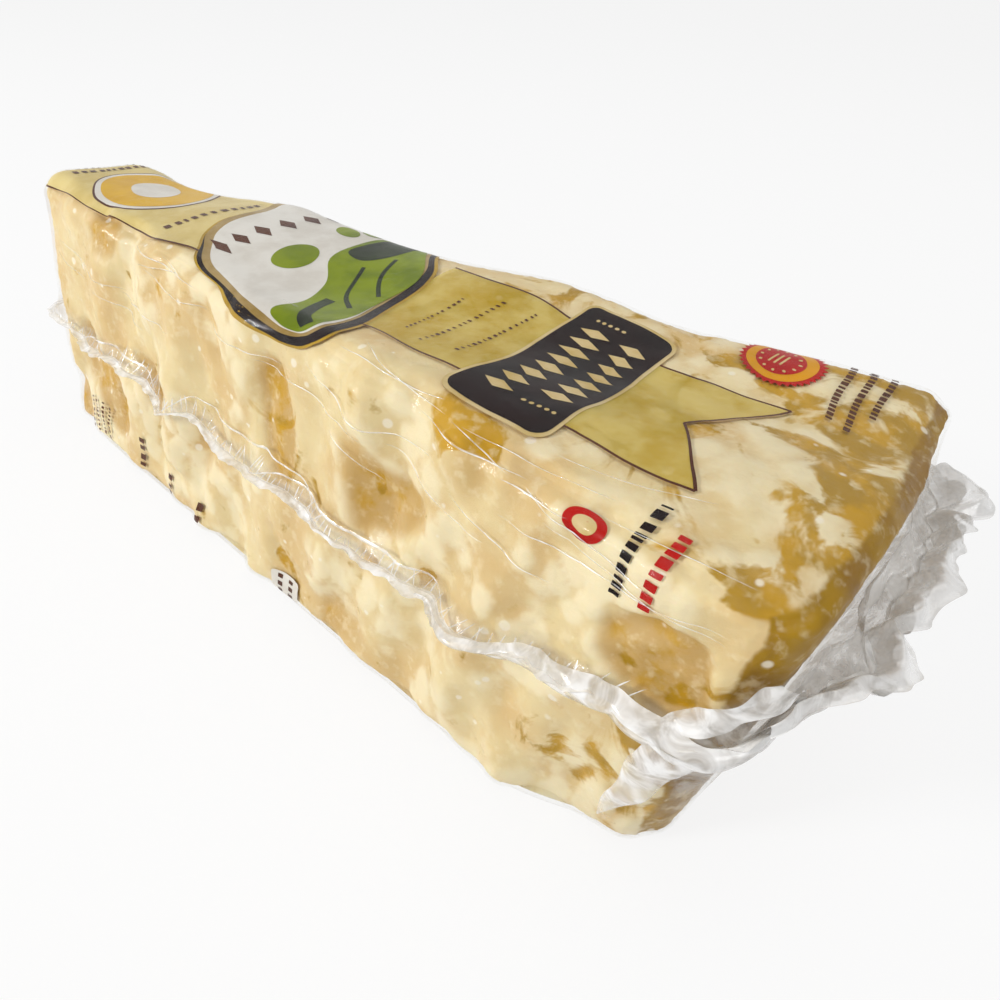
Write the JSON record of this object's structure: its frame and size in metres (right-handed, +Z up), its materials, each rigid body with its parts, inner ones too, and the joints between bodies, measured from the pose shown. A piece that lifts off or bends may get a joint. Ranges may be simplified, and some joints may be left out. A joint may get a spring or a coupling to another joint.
{
  "type": "vacuum-packed hard cheese wedge",
  "caption": "Wedge of hard cheese sealed in clear film, lying on its flat side, with a broken fluted side, a rind end and the bag's crumpled free end.",
  "frame": {"origin": "bottom centre of the bounding box, on the surface that the pack lies on", "axes": "+X from the narrow tip to the rind end, +Z up, the broken side faces -Y"},
  "size_m": [0.2148, 0.0848, 0.0659],
  "materials": {
    "cheese_in_film": "cream cheese under clear glossy film"
  },
  "bodies": {
    "root": {"packed_wedge": "cheese_in_film"}
  },
  "joints": []
}
